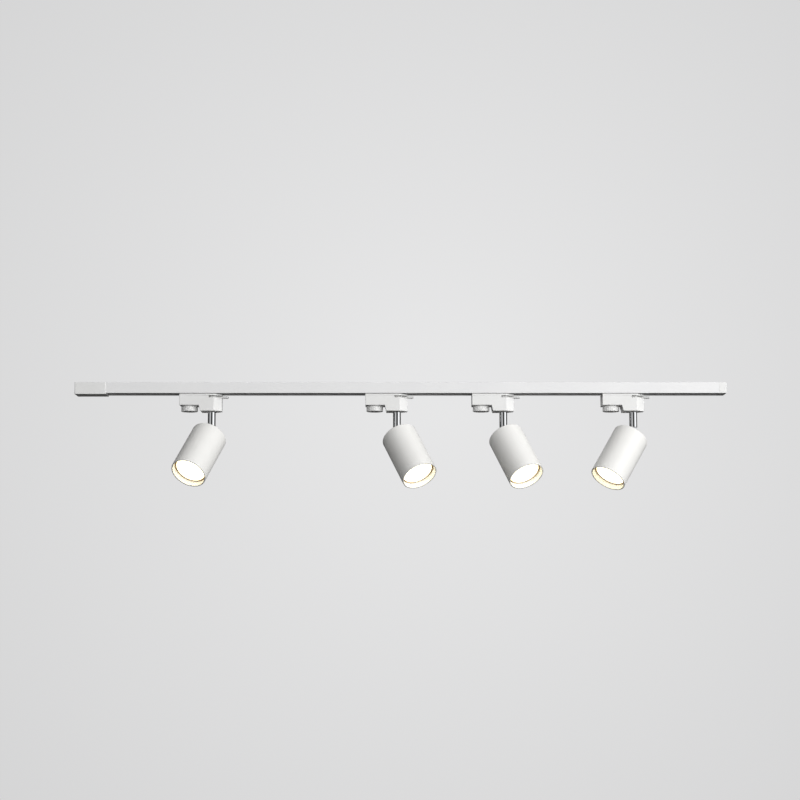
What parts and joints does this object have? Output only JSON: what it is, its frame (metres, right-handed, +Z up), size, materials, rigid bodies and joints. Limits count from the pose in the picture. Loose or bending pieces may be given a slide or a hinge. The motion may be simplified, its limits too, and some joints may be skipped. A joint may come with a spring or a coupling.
{
  "type": "track lighting fixture",
  "caption": "Ceiling track light: a white channel rail with sliding adapters, each carrying a cylinder spot on a turning stem and a tilting knuckle.",
  "frame": {"origin": "middle of the rail's length and width, on its ceiling face", "axes": "+X along the rail from the feed box to the end cap, -Y towards the room side that the lever tabs swing to, +Z up into the ceiling"},
  "size_m": [1.063, 0.1063, 0.1764],
  "materials": {
    "rail_paint": "white powder coat, satin",
    "head_paint": "white powder coat, fine texture, satin",
    "white_plastic": "white moulded, satin",
    "insulator": "black extruded, matte",
    "copper": "bright strip",
    "brass": "machined",
    "chrome": "polished",
    "steel": "zinc plated",
    "ceramic": "unglazed ceramic",
    "lamp_body": "moulded lamp body",
    "lens": "lit, frosted"
  },
  "bodies": {
    "root": {"rail": "rail_paint", "rail_insulators": "insulator", "rail_conductors": "copper", "feed_housing": "white_plastic", "feed_cover": "white_plastic", "feed_screws": "steel", "feed_terminals": "brass", "end_cap": "white_plastic"},
    "adapter_1": {"adapter_housing_1": "white_plastic", "adapter_cover_1": "white_plastic"},
    "lock_lever_1": {"lock_lever_1": "white_plastic"},
    "contact_knob_1": {"contact_knob_1": "white_plastic", "contact_blades_1": "copper"},
    "stem_1": {"stem_1": "chrome", "stem_nut_1": "steel"},
    "head_1": {"tilt_yoke_1": "steel", "tilt_screws_1": "steel", "head_housing_1": "head_paint", "lampholder_1": "ceramic", "lamp_1": "lamp_body", "lamp_lens_1": "lens"},
    "adapter_2": {"adapter_housing_2": "white_plastic", "adapter_cover_2": "white_plastic"},
    "lock_lever_2": {"lock_lever_2": "white_plastic"},
    "contact_knob_2": {"contact_knob_2": "white_plastic", "contact_blades_2": "copper"},
    "stem_2": {"stem_2": "chrome", "stem_nut_2": "steel"},
    "head_2": {"tilt_yoke_2": "steel", "tilt_screws_2": "steel", "head_housing_2": "head_paint", "lampholder_2": "ceramic", "lamp_2": "lamp_body", "lamp_lens_2": "lens"},
    "adapter_3": {"adapter_housing_3": "white_plastic", "adapter_cover_3": "white_plastic"},
    "lock_lever_3": {"lock_lever_3": "white_plastic"},
    "contact_knob_3": {"contact_knob_3": "white_plastic", "contact_blades_3": "copper"},
    "stem_3": {"stem_3": "chrome", "stem_nut_3": "steel"},
    "head_3": {"tilt_yoke_3": "steel", "tilt_screws_3": "steel", "head_housing_3": "head_paint", "lampholder_3": "ceramic", "lamp_3": "lamp_body", "lamp_lens_3": "lens"},
    "adapter_4": {"adapter_housing_4": "white_plastic", "adapter_cover_4": "white_plastic"},
    "lock_lever_4": {"lock_lever_4": "white_plastic"},
    "contact_knob_4": {"contact_knob_4": "white_plastic", "contact_blades_4": "copper"},
    "stem_4": {"stem_4": "chrome", "stem_nut_4": "steel"},
    "head_4": {"tilt_yoke_4": "steel", "tilt_screws_4": "steel", "head_housing_4": "head_paint", "lampholder_4": "ceramic", "lamp_4": "lamp_body", "lamp_lens_4": "lens"}
  },
  "joints": [
    {"name": "spot_slide_1", "type": "slide", "parent": "root", "child": "adapter_1", "axis": [1, 0, 0], "range_m": [-0.115, 0.15]},
    {"name": "lever_turn_1", "type": "hinge", "parent": "adapter_1", "child": "lock_lever_1", "pos_m": [-0.3285, 0, -0.0229], "axis": [0, 0, 1], "range_deg": [-90, 0]},
    {"name": "contact_turn_1", "type": "hinge", "parent": "adapter_1", "child": "contact_knob_1", "pos_m": [-0.3648, 0, -0.042], "axis": [0, 0, 1], "range_deg": [0, 90]},
    {"name": "stem_turn_1", "type": "hinge", "parent": "adapter_1", "child": "stem_1", "pos_m": [-0.3285, 0, -0.047], "axis": [0, 0, 1], "range_deg": [-148.5, 201.5]},
    {"name": "head_tilt_1", "type": "hinge", "parent": "stem_1", "child": "head_1", "pos_m": [-0.3285, 0, -0.08], "axis": [-0.8949, 0.4462, 0], "range_deg": [-42.9, 47.1]},
    {"name": "spot_slide_2", "type": "slide", "parent": "root", "child": "adapter_2", "axis": [1, 0, 0], "range_m": [-0.15, 0.06]},
    {"name": "lever_turn_2", "type": "hinge", "parent": "adapter_2", "child": "lock_lever_2", "pos_m": [-0.0255, 0, -0.0229], "axis": [0, 0, 1], "range_deg": [-90, 0]},
    {"name": "contact_turn_2", "type": "hinge", "parent": "adapter_2", "child": "contact_knob_2", "pos_m": [-0.0618, 0, -0.042], "axis": [0, 0, 1], "range_deg": [0, 90]},
    {"name": "stem_turn_2", "type": "hinge", "parent": "adapter_2", "child": "stem_2", "pos_m": [-0.0255, 0, -0.047], "axis": [0, 0, 1], "range_deg": [-210.2, 139.8]},
    {"name": "head_tilt_2", "type": "hinge", "parent": "stem_2", "child": "head_2", "pos_m": [-0.0255, 0, -0.08], "axis": [-0.8171, -0.5764, 0], "range_deg": [-39.8, 50.2]},
    {"name": "spot_slide_3", "type": "slide", "parent": "root", "child": "adapter_3", "axis": [1, 0, 0], "range_m": [-0.06, 0.06]},
    {"name": "lever_turn_3", "type": "hinge", "parent": "adapter_3", "child": "lock_lever_3", "pos_m": [0.1485, 0, -0.0229], "axis": [0, 0, 1], "range_deg": [-90, 0]},
    {"name": "contact_turn_3", "type": "hinge", "parent": "adapter_3", "child": "contact_knob_3", "pos_m": [0.1122, 0, -0.042], "axis": [0, 0, 1], "range_deg": [0, 90]},
    {"name": "stem_turn_3", "type": "hinge", "parent": "adapter_3", "child": "stem_3", "pos_m": [0.1485, 0, -0.047], "axis": [0, 0, 1], "range_deg": [-207.5, 142.5]},
    {"name": "head_tilt_3", "type": "hinge", "parent": "stem_3", "child": "head_3", "pos_m": [0.1485, 0, -0.08], "axis": [-0.8434, -0.5373, 0], "range_deg": [-39.1, 50.9]},
    {"name": "spot_slide_4", "type": "slide", "parent": "root", "child": "adapter_4", "axis": [1, 0, 0], "range_m": [-0.06, 0.108]},
    {"name": "lever_turn_4", "type": "hinge", "parent": "adapter_4", "child": "lock_lever_4", "pos_m": [0.361, 0, -0.0229], "axis": [0, 0, 1], "range_deg": [-90, 0]},
    {"name": "contact_turn_4", "type": "hinge", "parent": "adapter_4", "child": "contact_knob_4", "pos_m": [0.3247, 0, -0.042], "axis": [0, 0, 1], "range_deg": [0, 90]},
    {"name": "stem_turn_4", "type": "hinge", "parent": "adapter_4", "child": "stem_4", "pos_m": [0.361, 0, -0.047], "axis": [0, 0, 1], "range_deg": [-123.4, 226.6]},
    {"name": "head_tilt_4", "type": "hinge", "parent": "stem_4", "child": "head_4", "pos_m": [0.361, 0, -0.08], "axis": [-0.6211, 0.7837, 0], "range_deg": [-37.2, 52.8]}
  ]
}
